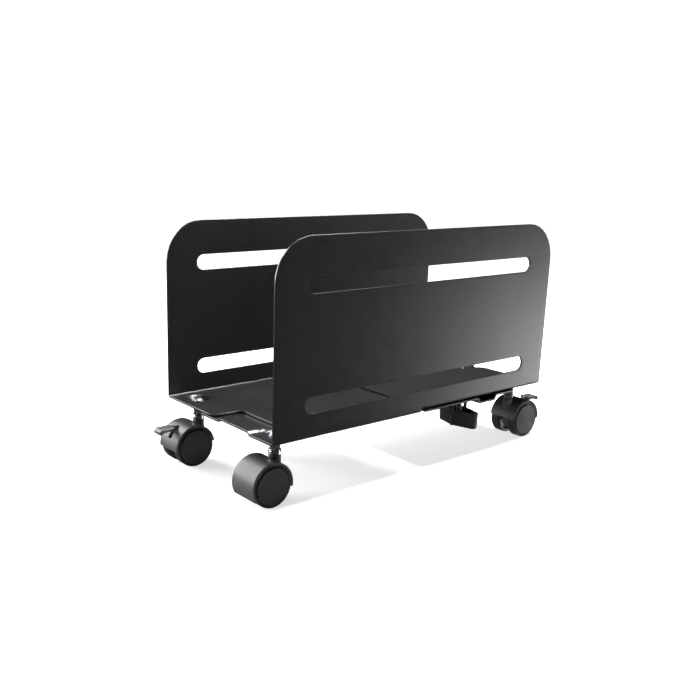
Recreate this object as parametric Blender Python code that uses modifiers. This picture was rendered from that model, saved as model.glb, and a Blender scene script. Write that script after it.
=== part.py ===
"""Mobile computer stand: two interleaved sheet-steel brackets on four twin-wheel casters.

Metres, +Z up. X is the width, Y the length, and the floor is at Z = 0.
The two brackets are the same pressing, one turned half a turn about Z. Each has an upright
side panel and a deck split at mid-length: one half lies high, the other half one step lower,
where it slides under the high half of the other bracket. The front left and rear right
casters have a foot brake. Clamp screws under the low deck halves lock the width.
"""
import math

import bmesh
import bpy
from mathutils import Matrix

# Driving dimensions of the sheet brackets
LENGTH = 0.360
WIDTH = 0.173
PANEL_HEIGHT = 0.174
SHEET = 0.002
DECK_Z = 0.060
DECK_STEP = 0.0025
SPLIT_GAP = 0.005
BEND_OUTER = 0.003
BEND_INNER = 0.001
LEG_TOP = 0.014

PANEL_CORNER = 0.038
SLOT_HEIGHT = 0.015
SLOT_REACH = 0.1465
SLOT_LEVELS = (0.030, 0.134)

HIGH_END = 0.079
NOTCH_SIDE = -0.005
NOTCH_BACK = 0.148
LOW_END = 0.088
LOW_CUT_SIDE = 0.027
LOW_CUT_BACK = 0.137

PAD_TOP = (-0.048, -0.007, 0.163)
PAD_RAMP = 0.0055

CHANNEL_Y = 0.0945
CHANNEL_DEPTH = 0.006
CHANNEL_TOP_HALF = 0.0145
CHANNEL_BASE_HALF = 0.01175
CHANNEL_INNER_END = 0.028

DISH_BASE = 0.0585
DISH_TOP_R = 0.0135
DISH_BASE_R = 0.010

# Driving dimensions of the casters
CASTER_X = 0.063
CASTER_Y = 0.160
TRAIL = 0.0128
WHEEL_R = 0.0195
WHEEL_IN = 0.0062
WHEEL_OUT = 0.0160
RIM_RECESS = 0.0135
RECESS_R = 0.0182
CAP_R = 0.0179
CAP_OUT = 0.0170
SHELL_OUT = 0.0218
SHELL_IN = 0.0200
SHELL_HALF = 0.0161
WEB_HALF = 0.0055
NECK_R = 0.0057
NECK_TOP = 0.0425
SOCKET_BASE = 0.030
STEM_R = 0.004
STEM_BASE = 0.0306
STEM_TOP = 0.0630
COLLAR_R = 0.0058
COLLAR_TOP = 0.0475
SPACER_R = 0.0048
NUT_FLATS = 0.009
NUT_TOP = 0.0644
AXLE_R = 0.0025
AXLE_HALF = 0.0132
PLAIN_SECTOR = (-30.0, 190.0)
BRAKED_SECTOR = (-5.0, 172.0)

# Foot brake, measured from the axle: along the trail, then up
BRAKE_PIVOT = (0.0095, 0.0115)
BRAKE_PIN_R = 0.0015
BRAKE_PIN_HALF = 0.0052
LEVER_HALF = 0.0025
PADDLE_HALF = 0.0068
PADDLE_REACH = 0.0335
PADDLE_UNDER = 0.0168
PADDLE_OVER = 0.0206
PADDLE_DROP = 0.0026
POCKET_HALF = 0.0029
POCKET_SECTOR = (24, 64)

# Clamp screw and its hand knob
CLAMP_X = 0.050
THREAD_R = 0.003
CLAMP_NUT_HEIGHT = 0.0050
KNOB_TOP = 0.0388
KNOB_BASE = 0.0214
KNOB_HALF_LENGTH = 0.0247
KNOB_HALF_WIDTH = 0.0103
KNOB_END_HALF = 0.0035
KNOB_WALL = 0.0018
KNOB_RIB_TOP = 0.046
KNOB_RIB_HALF = 0.00175
KNOB_RIB_OUT = 0.0117

GAP = 0.0003
FINE = 32
COARSE = 20

# Turns a drawn outline so that it stands across X, or across Y
ACROSS_X = Matrix(((0, 0, 1, 0), (1, 0, 0, 0), (0, 1, 0, 0), (0, 0, 0, 1)))
ACROSS_Y = Matrix(((1, 0, 0, 0), (0, 0, -1, 0), (0, 1, 0, 0), (0, 0, 0, 1)))
AXLE_TURN = Matrix.Rotation(math.pi / 2, 4, "Y")


def clear_scene():
    """Remove every object that is already there."""
    for item in list(bpy.data.objects):
        bpy.data.objects.remove(item, do_unlink=True)


def material(name, color, roughness, metallic):
    """Make a plain surface."""
    surface = bpy.data.materials.new(name)
    surface.use_nodes = True
    shader = surface.node_tree.nodes["Principled BSDF"]
    shader.inputs["Base Color"].default_value = (*color, 1.0)
    shader.inputs["Roughness"].default_value = roughness
    shader.inputs["Metallic"].default_value = metallic
    return surface


def arc(centre, radius, start, end, steps):
    """Points along an arc, angles in degrees."""
    points = []
    for step in range(steps + 1):
        angle = math.radians(start + (end - start) * step / steps)
        points.append((centre[0] + radius * math.cos(angle), centre[1] + radius * math.sin(angle)))
    return points


def rounded(corners, steps=5):
    """Outline through corners (x, y, radius), each one rounded to its radius."""
    points = []
    count = len(corners)
    for index, (x, y, radius) in enumerate(corners):
        if radius == 0:
            points.append((x, y))
            continue
        before = corners[index - 1]
        after = corners[(index + 1) % count]
        back = math.atan2(before[1] - y, before[0] - x)
        ahead = math.atan2(after[1] - y, after[0] - x)
        turn = (ahead - back + math.pi) % (2 * math.pi) - math.pi
        reach = radius / math.sin(abs(turn) / 2)
        middle = back + turn / 2
        centre = (x + reach * math.cos(middle), y + reach * math.sin(middle))
        sweep = math.degrees(math.copysign(math.pi - abs(turn), turn))
        start = math.degrees(middle) + 180 + sweep / 2
        points += arc(centre, radius, start, start - sweep, steps)
    return points


def as_object(name, mesh):
    """Put a mesh in the scene as a working object."""
    item = bpy.data.objects.new(name, mesh)
    bpy.context.scene.collection.objects.link(item)
    return item


def evaluated_mesh(item):
    """The mesh of an object with its modifiers applied; the object is removed."""
    bpy.context.view_layer.update()
    graph = bpy.context.evaluated_depsgraph_get()
    mesh = bpy.data.meshes.new_from_object(item.evaluated_get(graph))
    bpy.data.objects.remove(item, do_unlink=True)
    return mesh


def plate(loops, thickness, turn=None, shift=(0, 0, 0)):
    """Flat outline (with holes) of a thickness, centred on its plane, then turned and moved."""
    curve = bpy.data.curves.new("outline", "CURVE")
    curve.dimensions = "2D"
    curve.fill_mode = "BOTH"
    curve.extrude = thickness / 2
    for loop in loops:
        spline = curve.splines.new("POLY")
        spline.points.add(len(loop) - 1)
        for point, (x, y) in zip(spline.points, loop):
            point.co = (x, y, 0, 1)
        spline.use_cyclic_u = True
    mesh = evaluated_mesh(as_object("outline", curve))
    shape = bmesh.new()
    shape.from_mesh(mesh)
    bmesh.ops.remove_doubles(shape, verts=shape.verts, dist=1e-6)
    bmesh.ops.recalc_face_normals(shape, faces=shape.faces)
    shape.transform(Matrix.Translation(shift) @ (turn or Matrix.Identity(4)))
    shape.to_mesh(mesh)
    shape.free()
    return as_object("plate", mesh)


def turned(profile, steps, closed=False, turn=None, shift=(0, 0, 0)):
    """Solid of revolution about Z from (radius, height) points, outer side top to bottom."""
    mesh = bpy.data.meshes.new("profile")
    edges = [(index, index + 1) for index in range(len(profile) - 1)]
    if closed:
        edges.append((len(profile) - 1, 0))
    mesh.from_pydata([(radius, 0, height) for radius, height in profile], edges, [])
    item = as_object("turned", mesh)
    screw = item.modifiers.new("Screw", "SCREW")
    screw.steps = steps
    screw.render_steps = steps
    screw.use_merge_vertices = True
    screw.merge_threshold = 1e-5
    solid = evaluated_mesh(item)
    solid.transform(Matrix.Translation(shift) @ (turn or Matrix.Identity(4)))
    return as_object("turned", solid)


def rod(radius, low, high, steps=COARSE, turn=None, shift=(0, 0, 0)):
    """Plain cylinder along Z between two heights."""
    return turned([(0, high), (radius, high), (radius, low), (0, low)], steps, False, turn, shift)


def cone_plug(top_r, base_r, low, high, shift):
    """Tapered round plug, narrow end down."""
    profile = [(0, high), (top_r, high), (base_r, low), (0, low)]
    return turned(profile, FINE, False, None, shift)


def combine(item, other, operation):
    """Join, cut or trim one solid with another, which is used up."""
    boolean = item.modifiers.new(operation, "BOOLEAN")
    boolean.operation = operation
    boolean.object = other
    mesh = evaluated_mesh(item)
    bpy.data.objects.remove(other, do_unlink=True)
    return as_object("solid", mesh)


def join(item, *others):
    """Union of solids."""
    for other in others:
        item = combine(item, other, "UNION")
    return item


def cut(item, *others):
    """One solid less the others."""
    for other in others:
        item = combine(item, other, "DIFFERENCE")
    return item


def finished(item, name, angle=30.0):
    """The mesh of a working object, its round faces smooth."""
    mesh = item.data
    bpy.data.objects.remove(item, do_unlink=True)
    mesh.name = name
    mesh.shade_smooth()
    mesh.set_sharp_from_angle(angle=math.radians(angle))
    return mesh


# ---------------------------------------------------------------- brackets


def side_panel():
    """Upright panel of the left bracket, with round top corners and two long slots."""
    half = LENGTH / 2
    base = DECK_Z + DECK_STEP + BEND_OUTER + GAP
    top = DECK_Z + PANEL_HEIGHT
    outline = rounded(
        [(-half, base, 0), (half, base, 0), (half, top, PANEL_CORNER), (-half, top, PANEL_CORNER)],
        steps=10,
    )
    slots = []
    end = SLOT_REACH - SLOT_HEIGHT / 2
    for level in SLOT_LEVELS:
        z = DECK_Z + level
        right = arc((end, z), SLOT_HEIGHT / 2, 90, -90, 10)
        left = arc((-end, z), SLOT_HEIGHT / 2, -90, -270, 10)
        slots.append(right + left)
    return plate([outline] + slots, SHEET, ACROSS_X, ((SHEET - WIDTH) / 2, 0, 0))


def deck_half(base_z, end_x, y_low, y_high):
    """Bent deck half: a short leg on the panel, the bend and the deck."""
    outer = -WIDTH / 2
    inner = outer + SHEET
    top = DECK_Z + LEG_TOP
    outer_bend = arc((outer + BEND_OUTER, base_z + BEND_OUTER), BEND_OUTER, 180, 270, 5)
    inner_z = base_z + SHEET
    inner_bend = arc((inner + BEND_INNER, inner_z + BEND_INNER), BEND_INNER, 270, 180, 4)
    outline = [(outer, top)] + outer_bend + [(end_x, base_z), (end_x, inner_z)]
    outline += inner_bend + [(inner, top)]
    return plate([outline], y_high - y_low, ACROSS_Y, (0, (y_low + y_high) / 2, 0))


def hump(base_z, rise, extra):
    """Raised pad, sloped on three sides and open at the deck's end; extra lowers its foot."""
    x_low, x_high, y_low = PAD_TOP
    y_high = LENGTH / 2 + 0.01
    spread = PAD_RAMP * (rise + extra) / rise
    shape = bmesh.new()
    bmesh.ops.create_cube(shape, size=1.0)
    for vertex in shape.verts:
        grow = 0 if vertex.co.z > 0 else spread
        z = base_z + rise if vertex.co.z > 0 else base_z - extra
        x = x_high + grow if vertex.co.x > 0 else x_low - grow
        y = y_high if vertex.co.y > 0 else y_low - grow
        vertex.co = (x, y, z)
    mesh = bpy.data.meshes.new("hump")
    shape.to_mesh(mesh)
    shape.free()
    return as_object("hump", mesh)


def channel_prism(top_half, base_half, low, high, x_low, x_high):
    """Trapezoid bar along X under the low deck half."""
    outline = [(-top_half, high), (-base_half, low), (base_half, low), (top_half, high)]
    shift = ((x_low + x_high) / 2, CHANNEL_Y, 0)
    return plate([outline], x_high - x_low, ACROSS_X, shift)


def pressed_dish(item, x, y, deck_base):
    """Press a round dish for a caster stem into a deck half, and punch its hole."""
    slope = (DISH_TOP_R - DISH_BASE_R) / (DECK_Z + DECK_STEP - DISH_BASE)
    below = DISH_TOP_R - slope * (DECK_Z + DECK_STEP - deck_base)
    embed = 0.001
    outer = cone_plug(below + slope * embed, DISH_BASE_R, DISH_BASE, deck_base + embed, (x, y, 0))
    item = join(item, outer)
    floor_z = DISH_BASE + SHEET
    top = deck_base + SHEET + embed
    inner = cone_plug(DISH_BASE_R - 0.0012 + slope * (top - floor_z), DISH_BASE_R - 0.0012,
                      floor_z, top, (x, y, 0))
    hole = rod(THREAD_R + GAP, DISH_BASE - 0.002, floor_z + 0.002, COARSE, None, (x, y, 0))
    return cut(item, inner, hole)


def bracket_mesh():
    """The left bracket: high deck half in front, low deck half behind."""
    half = LENGTH / 2
    middle = SPLIT_GAP / 2
    high_z = DECK_Z + DECK_STEP
    item = join(
        side_panel(),
        deck_half(high_z, HIGH_END, -half, -middle),
        deck_half(DECK_Z, LOW_END, middle, half),
    )
    notch = arc((NOTCH_SIDE - 0.008, -half + 0.008), 0.008, -90, 0, 5)
    notch += arc((NOTCH_SIDE + 0.007, -NOTCH_BACK - 0.007), 0.007, 180, 90, 5)
    notch += [(0.1, -NOTCH_BACK), (0.1, -half - 0.01), (NOTCH_SIDE - 0.008, -half - 0.01)]
    corner = arc((LOW_CUT_SIDE + 0.006, LOW_CUT_BACK + 0.006), 0.006, 270, 180, 5)
    corner += [(LOW_CUT_SIDE, half + 0.01), (0.1, half + 0.01), (0.1, LOW_CUT_BACK)]
    item = cut(
        item,
        plate([notch], 0.02, None, (0, 0, high_z)),
        plate([corner], 0.02, None, (0, 0, DECK_Z)),
    )
    pad_outer = hump(DECK_Z + SHEET, DECK_STEP, 0.001)
    pad_inner = hump(DECK_Z, DECK_STEP, 0.001)
    item = cut(join(item, trimmed_to_deck(pad_outer)), pad_inner)
    lean = (CHANNEL_TOP_HALF - CHANNEL_BASE_HALF) / CHANNEL_DEPTH
    wall = SHEET * math.sqrt(1 + lean * lean)
    base = DECK_Z - CHANNEL_DEPTH
    outer = channel_prism(CHANNEL_TOP_HALF + lean * 0.001, CHANNEL_BASE_HALF, base,
                          DECK_Z + 0.001, CHANNEL_INNER_END, LOW_END)
    inner_top = CHANNEL_TOP_HALF - wall + lean * (SHEET + 0.001)
    inner_base = CHANNEL_BASE_HALF - wall + lean * SHEET
    inner = channel_prism(inner_top, inner_base, base + SHEET, DECK_Z + SHEET + 0.001,
                          CHANNEL_INNER_END + SHEET, LOW_END + 0.01)
    hole = rod(THREAD_R + GAP, base - 0.002, base + SHEET + 0.002, COARSE, None,
               (CLAMP_X, CHANNEL_Y, 0))
    item = cut(join(item, outer), inner, hole)
    item = pressed_dish(item, -CASTER_X, -CASTER_Y, high_z)
    item = pressed_dish(item, -CASTER_X, CASTER_Y, DECK_Z)
    return finished(item, "bracket", 25.0)


def trimmed_to_deck(item):
    """Cut the pad blank off flush with the end of the deck."""
    half = LENGTH / 2
    block = [(-0.1, half), (0.1, half), (0.1, half + 0.03), (-0.1, half + 0.03)]
    return cut(item, plate([block], 0.04, None, (0, 0, DECK_Z)))


# ----------------------------------------------------------------- casters
# Caster pieces are drawn about the stem's axis, with the axle towards +Y.


def sector(inner_r, outer_r, start, end, steps):
    """Ring sector about the axle."""
    outer = arc((TRAIL, WHEEL_R), outer_r, start, end, steps)
    inner = arc((TRAIL, WHEEL_R), inner_r, end, start, steps)
    return outer + inner


def hood_mesh(braked):
    """Moulded hood: shell over both wheels, web between them, and the stem socket."""
    start, end = BRAKED_SECTOR if braked else PLAIN_SECTOR
    axle = (TRAIL, WHEEL_R)
    shell = plate([sector(SHELL_IN, SHELL_OUT, start, end, 26)], 2 * SHELL_HALF, ACROSS_X)
    web = arc(axle, SHELL_IN + 0.001, start + 2, end - 2, 20)
    web += arc(axle, WHEEL_IN, end - 2, start + 362, 10)
    neck = rod(NECK_R, SOCKET_BASE - 0.0022, NECK_TOP, FINE)
    item = join(shell, plate([web], 2 * WEB_HALF, ACROSS_X), neck)
    socket = rod(STEM_R + GAP, SOCKET_BASE, NECK_TOP + 0.01)
    bore = rod(AXLE_R + GAP, -0.03, 0.03, COARSE, AXLE_TURN, (0, TRAIL, WHEEL_R))
    item = cut(item, socket, bore)
    if braked:
        pocket = plate([sector(0.0085, 0.030, *POCKET_SECTOR, 12)], 2 * POCKET_HALF, ACROSS_X)
        pin_hole = rod(BRAKE_PIN_R + GAP, -0.03, 0.03, 16, AXLE_TURN, brake_pivot())
        item = cut(item, pocket, pin_hole)
    return finished(item, "braked_hood" if braked else "plain_hood")


def brake_pivot():
    """The brake pin's axis, from the stem."""
    return (0, TRAIL + BRAKE_PIVOT[0], WHEEL_R + BRAKE_PIVOT[1])


def lever_mesh():
    """Brake lever about its pin: a tongue between the wheels and a wide paddle outside."""
    y, z = BRAKE_PIVOT
    back = SHELL_OUT * 0.78 - y
    tip = PADDLE_REACH - y
    under = PADDLE_UNDER - z
    over = PADDLE_OVER - z
    tongue = arc((0, 0), 0.0030, 120, 330, 8)
    tongue += [(back + 0.003, under + 0.0006), (back + 0.003, over - 0.0006), (back - 0.0035, over - 0.0006)]
    paddle = rounded([(back, over, 0), (back, under, 0), (tip - 0.0045, under, 0.002),
                      (tip - 0.0022, under - PADDLE_DROP, 0.0005), (tip, under - PADDLE_DROP, 0.0005),
                      (tip, over - 0.0004, 0.0030)])
    item = join(plate([tongue], 2 * LEVER_HALF, ACROSS_X),
                plate([paddle], 2 * PADDLE_HALF, ACROSS_X))
    hole = rod(BRAKE_PIN_R + GAP, -0.02, 0.02, 16, AXLE_TURN)
    return finished(cut(item, hole), "brake_lever")


def wheel_mesh(side):
    """Wheel about its own axle, on the +X or -X side of the web."""
    edge = 0.0008
    profile = [
        (RECESS_R, WHEEL_OUT),
        (WHEEL_R - edge, WHEEL_OUT),
        (WHEEL_R, WHEEL_OUT - edge),
        (WHEEL_R, WHEEL_IN + edge),
        (WHEEL_R - edge, WHEEL_IN),
        (AXLE_R + GAP, WHEEL_IN),
        (AXLE_R + GAP, RIM_RECESS),
        (RECESS_R, RIM_RECESS),
    ]
    turn = Matrix.Rotation(side * math.pi / 2, 4, "Y")
    return finished(turned(profile, FINE, True, turn), "wheel", 35.0)


def cap_mesh(side):
    """Flat disc that closes the wheel's outer face."""
    inner = RIM_RECESS + GAP
    profile = [(0, CAP_OUT), (CAP_R - 0.0011, CAP_OUT), (CAP_R - 0.0003, CAP_OUT - 0.0004),
               (CAP_R, CAP_OUT - 0.0012), (CAP_R, inner), (0, inner)]
    turn = Matrix.Rotation(side * math.pi / 2, 4, "Y")
    return finished(turned(profile, FINE, False, turn), "wheel_cap", 35.0)


def stem_mesh():
    """Steel stem: a pin in the hood's socket, a collar and the threaded end."""
    shoulder = NECK_TOP + GAP
    profile = [
        (0, STEM_TOP), (THREAD_R - 0.0004, STEM_TOP), (THREAD_R, STEM_TOP - 0.0004),
        (THREAD_R, COLLAR_TOP), (COLLAR_R, COLLAR_TOP), (COLLAR_R, shoulder),
        (STEM_R, shoulder), (STEM_R, STEM_BASE + 0.0006), (STEM_R - 0.0006, STEM_BASE), (0, STEM_BASE),
    ]
    return finished(turned(profile, COARSE), "caster_stem")


def spacer_mesh():
    """Sleeve round the thread, between the collar and the deck."""
    low = COLLAR_TOP + GAP
    high = DISH_BASE - GAP
    bore = THREAD_R + GAP
    profile = [(SPACER_R, high), (SPACER_R, low), (bore, low), (bore, high)]
    return finished(turned(profile, COARSE, True), "caster_spacer")


def nut_blank(across_flats, low, high):
    """Hexagonal prism along Z."""
    radius = across_flats / math.sqrt(3)
    return plate([arc((0, 0), radius, 0, 300, 5)], high - low, None, (0, 0, (low + high) / 2))


def stem_nut_mesh():
    """Low dome nut that holds the stem, seated in the dish."""
    seat = DISH_BASE + SHEET + GAP
    shoulder = seat + 0.0018
    rise = NUT_TOP - shoulder
    dome_r = NUT_FLATS / 2 - 0.0002
    dome = [(0, NUT_TOP)]
    dome += [(dome_r * out, shoulder + rise * up) for out, up in ((0.43, 0.93), (0.77, 0.6), (1, 0))]
    dome += [(dome_r, seat + 0.0005), (0, seat + 0.0005)]
    item = join(nut_blank(NUT_FLATS, seat, shoulder), turned(dome, COARSE))
    return finished(cut(item, rod(THREAD_R + GAP, seat - 0.002, STEM_TOP + GAP)), "stem_nut")


# ------------------------------------------------------------------- clamp


def clamp_nut_mesh():
    """Nut in the channel of the low deck half, about the screw's axis."""
    base = DECK_Z - CHANNEL_DEPTH + SHEET + GAP
    item = nut_blank(0.010, base, base + CLAMP_NUT_HEIGHT)
    return finished(cut(item, rod(THREAD_R + GAP, base - 0.002, base + 0.008)), "clamp_nut")


def clamp_screw_mesh():
    """Threaded stud from inside the knob up to the underside of the high deck half."""
    top = DECK_Z + DECK_STEP - GAP
    profile = [(0, top), (THREAD_R - 0.0005, top), (THREAD_R, top - 0.0005),
               (THREAD_R, KNOB_BASE + 0.005), (0, KNOB_BASE + 0.005)]
    return finished(turned(profile, COARSE), "clamp_screw")


def knob_outline(inset, end_radius, waist_radius):
    """Long six-sided outline of the knob, moved inward by a distance."""
    length, width, end = KNOB_HALF_LENGTH, KNOB_HALF_WIDTH, KNOB_END_HALF
    slant = math.hypot(length, width - end)
    waist = width - inset * slant / length
    tip = length - inset
    corner = waist - (width - end) * tip / length
    return rounded([(tip, -corner, end_radius), (tip, corner, end_radius), (0, waist, waist_radius),
                    (-tip, corner, end_radius), (-tip, -corner, end_radius), (0, -waist, waist_radius)])


def knob_mesh():
    """Two-winged hand knob, hollow on top, with a boss and ribs round the stud."""
    height = KNOB_TOP - KNOB_BASE
    middle = (0, 0, (KNOB_TOP + KNOB_BASE) / 2)
    item = cut(plate([knob_outline(0, 0.0025, 0.004)], height, None, middle),
               plate([knob_outline(KNOB_WALL, 0.0008, 0.0025)], height, None, (0, 0, middle[2] + 0.002)))
    boss = rod(0.0055, KNOB_BASE + 0.001, KNOB_TOP - 0.0015, COARSE)
    web = plate([[(-0.0215, -0.0007), (0.0215, -0.0007), (0.0215, 0.0007), (-0.0215, 0.0007)]],
                0.012, None, (0, 0, KNOB_BASE + 0.007))
    item = join(item, boss, web)
    rib_height = KNOB_RIB_TOP - KNOB_BASE
    for side in (1, -1):
        outline = [(-KNOB_RIB_HALF, 0.0090 * side), (KNOB_RIB_HALF, 0.0090 * side),
                   (KNOB_RIB_HALF, KNOB_RIB_OUT * side), (-KNOB_RIB_HALF, KNOB_RIB_OUT * side)]
        item = join(item, plate([outline], rib_height, None, (0, 0, KNOB_BASE + rib_height / 2)))
    socket = rod(THREAD_R + GAP, KNOB_BASE + 0.005 - GAP, KNOB_TOP + 0.002)
    return finished(cut(item, socket), "clamp_knob")


# ---------------------------------------------------------------- assembly


def place(name, mesh, surface, parent=None, location=(0, 0, 0), turn_z=0.0):
    """Put a finished piece in the stand's collection."""
    item = bpy.data.objects.new(name, mesh)
    stand.objects.link(item)
    if not mesh.materials:
        mesh.materials.append(surface)
    item.location = location
    item.rotation_euler = (0, 0, turn_z)
    item.parent = parent
    return item


def pivot(name, location, turn_z=0.0, parent=None):
    """Empty on a joint's axis."""
    item = bpy.data.objects.new(name, None)
    item.empty_display_size = 0.02
    stand.objects.link(item)
    item.location = location
    item.rotation_euler = (0, 0, turn_z)
    item.parent = parent
    return item


def build_caster(name, bracket_pivot, x, y, braked):
    """One caster, with its axle trailing away from the middle of the stand."""
    away = 0.0 if y > 0 else math.pi
    mount = pivot(f"{name}_mount", (x, y, 0), away, bracket_pivot)
    place(f"{name}_stem", STEM, ZINC, mount)
    place(f"{name}_nut", STEM_NUT, ZINC, mount)
    place(f"{name}_spacer", SPACER, HOOD_PLASTIC, mount)
    swivel = pivot(f"{name}_swivel", (0, 0, 0), 0.0, mount)
    place(f"{name}_hood", BRAKED_HOOD if braked else PLAIN_HOOD, HOOD_PLASTIC, swivel)
    axle_at = (0, TRAIL, WHEEL_R)
    place(f"{name}_axle", AXLE, ZINC, swivel, axle_at)
    for side, side_name in ((1, "right"), (-1, "left")):
        if away:
            side_name = "left" if side > 0 else "right"
        spin = pivot(f"{name}_{side_name}_spin", axle_at, 0.0, swivel)
        place(f"{name}_{side_name}_wheel", WHEELS[side], WHEEL_PLASTIC, spin)
        place(f"{name}_{side_name}_cap", CAPS[side], CAP_PLASTIC, spin)
    if braked:
        place(f"{name}_brake_pin", BRAKE_PIN, ZINC, swivel, brake_pivot())
        place(f"{name}_brake_lever", LEVER, HOOD_PLASTIC, swivel, brake_pivot())


def build_clamp(name, bracket_pivot, x, y):
    """Clamp nut, screw and hand knob on the low deck half of a bracket."""
    place(f"{name}_clamp_nut", CLAMP_NUT, ZINC, bracket_pivot, (x, y, 0))
    screw = pivot(f"{name}_clamp_turn", (x, y, 0), 0.0, bracket_pivot)
    place(f"{name}_clamp_screw", CLAMP_SCREW, ZINC, screw)
    place(f"{name}_clamp_knob", KNOB, KNOB_PLASTIC, screw)


clear_scene()
stand = bpy.data.collections.new("mobile_computer_stand")
bpy.context.scene.collection.children.link(stand)

STEEL = material("black_powder_coat", (0.020, 0.020, 0.022), 0.42, 0.0)
ZINC = material("zinc_plated_steel", (0.60, 0.61, 0.63), 0.30, 1.0)
HOOD_PLASTIC = material("hood_plastic", (0.045, 0.045, 0.048), 0.45, 0.0)
WHEEL_PLASTIC = material("wheel_plastic", (0.040, 0.040, 0.042), 0.40, 0.0)
CAP_PLASTIC = material("cap_plastic", (0.050, 0.050, 0.053), 0.60, 0.0)
KNOB_PLASTIC = material("knob_plastic", (0.018, 0.018, 0.019), 0.50, 0.0)

BRACKET = bracket_mesh()
PLAIN_HOOD = hood_mesh(False)
BRAKED_HOOD = hood_mesh(True)
LEVER = lever_mesh()
WHEELS = {1: wheel_mesh(1), -1: wheel_mesh(-1)}
CAPS = {1: cap_mesh(1), -1: cap_mesh(-1)}
AXLE = finished(rod(AXLE_R, -AXLE_HALF, AXLE_HALF, COARSE, AXLE_TURN), "axle")
BRAKE_PIN = finished(rod(BRAKE_PIN_R, -BRAKE_PIN_HALF, BRAKE_PIN_HALF, 16, AXLE_TURN), "brake_pin")
STEM = stem_mesh()
STEM_NUT = stem_nut_mesh()
SPACER = spacer_mesh()
CLAMP_NUT = clamp_nut_mesh()
CLAMP_SCREW = clamp_screw_mesh()
KNOB = knob_mesh()

left = pivot("left_bracket_frame", (0, 0, 0))
right = pivot("right_bracket_frame", (0, 0, 0))
place("left_bracket", BRACKET, STEEL, left)
place("right_bracket", BRACKET, STEEL, right, (0, 0, 0), math.pi)
build_caster("front_left", left, -CASTER_X, -CASTER_Y, True)
build_caster("rear_left", left, -CASTER_X, CASTER_Y, False)
build_caster("front_right", right, CASTER_X, -CASTER_Y, False)
build_caster("rear_right", right, CASTER_X, CASTER_Y, True)
build_clamp("rear", left, CLAMP_X, CHANNEL_Y)
build_clamp("front", right, -CLAMP_X, -CHANNEL_Y)
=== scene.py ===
import math

import bmesh
import bpy
import numpy as np
from mathutils import Matrix, Vector
from mathutils.geometry import delaunay_2d_cdt


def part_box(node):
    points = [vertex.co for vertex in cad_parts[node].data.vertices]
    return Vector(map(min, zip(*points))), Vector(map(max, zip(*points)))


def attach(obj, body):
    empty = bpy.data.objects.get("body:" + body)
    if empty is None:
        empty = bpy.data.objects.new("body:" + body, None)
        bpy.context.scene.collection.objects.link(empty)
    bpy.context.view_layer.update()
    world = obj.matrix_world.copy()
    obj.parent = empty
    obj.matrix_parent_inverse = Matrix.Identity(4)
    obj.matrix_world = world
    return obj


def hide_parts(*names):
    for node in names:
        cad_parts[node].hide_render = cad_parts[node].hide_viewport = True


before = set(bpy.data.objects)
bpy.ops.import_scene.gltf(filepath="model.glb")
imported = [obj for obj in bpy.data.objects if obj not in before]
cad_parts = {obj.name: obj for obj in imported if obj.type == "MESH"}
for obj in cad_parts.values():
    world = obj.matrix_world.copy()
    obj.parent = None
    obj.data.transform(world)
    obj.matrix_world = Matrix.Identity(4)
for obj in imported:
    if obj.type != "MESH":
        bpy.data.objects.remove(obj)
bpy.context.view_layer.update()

# Sizes of the visible stand, in metres. The sheet follows a camera fit, so its width,
# deck height and channel depth differ a little from the CAD's.
LENGTH = 0.360
WIDTH = 0.174
PANEL_TOP = 0.2338
SHEET = 0.002
LOW_Z = 0.059
HIGH_Z = 0.0615
BEND_R = 0.003
NECK_TOP = 0.0425
COLLAR_TOP = 0.0475
PANEL_CORNER = 0.038
SLOT_HALF = 0.0075
SLOT_REACH = 0.1465
SLOT_LEVELS = (0.089, 0.193)
SLIT_HALF = 0.0025
SLIT_TOP = 0.0648
HIGH_END = 0.079
LOW_END = 0.0872
NOTCH = (-0.005, -0.148)
LOW_CUT = (0.027, 0.137)
PAD = (-0.048, -0.007, 0.163)
PAD_RAMP = 0.0055
PAD_RISE = 0.0025
CHANNEL_Y = 0.0945
CHANNEL_DEPTH = 0.0048
CHANNEL_HALF = 0.0146
CHANNEL_WALL = 0.0034
CHANNEL_START = 0.0285
DISH_FLOOR_R = 0.0086
HIGH_DISH = (0.004, 0.0050)  # depth and wall width
LOW_DISH = (0.0015, 0.0040)
BOLT_HOLE_R = 0.0033
TRAIL = 0.0128
WHEEL_R = 0.0195
BRAKE_PIVOT = (0.0223, 0.0310)
EDGE = 0.00042
EDGE_PARTS = 3


def centre(node):
    """Middle of a CAD node's box."""
    low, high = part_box(node)
    return [(a + b) / 2 for a, b in zip(low, high)]


CASTERS = {}
for corner in ("front_left", "front_right", "rear_left", "rear_right"):
    spot = centre(f"{corner}_stem")
    CASTERS[corner] = (spot[0], spot[1])
CASTER_X = abs(CASTERS["front_left"][0])
CASTER_Y = abs(CASTERS["front_left"][1])
CLAMP_X = abs(centre("rear_clamp_screw")[0])
BRAKED = ("front_left", "rear_right")


# ---------------------------------------------------------------- materials


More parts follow.
